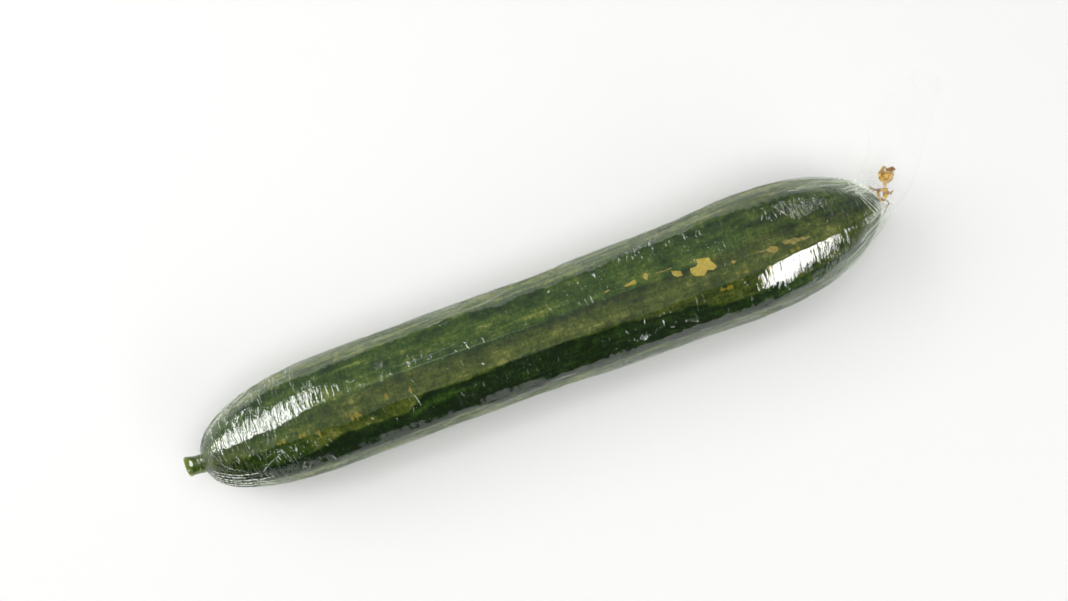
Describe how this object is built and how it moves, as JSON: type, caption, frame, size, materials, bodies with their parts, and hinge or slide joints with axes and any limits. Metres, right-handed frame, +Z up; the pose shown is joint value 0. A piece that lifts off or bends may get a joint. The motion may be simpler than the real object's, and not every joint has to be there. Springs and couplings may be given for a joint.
{
  "type": "cucumber",
  "caption": "Long greenhouse cucumber in clear shrink film, with a cut stem stub and a withered blossom.",
  "frame": {"origin": "middle of the bounding box's base, on the surface that the cucumber lies on", "axes": "+X along the fruit from the stem end to the blossom end, +Z up, and +Y the side that the film's tail bends to"},
  "size_m": [0.3524, 0.0752, 0.0512],
  "materials": {
    "fruit_skin": "satin",
    "stem": "satin",
    "dried_petal": "matte",
    "clear_film": "gloss"
  },
  "bodies": {
    "root": {"fruit": "fruit_skin", "stem": "stem", "dried_blossom": "dried_petal", "shrink_film": "clear_film"}
  },
  "joints": []
}
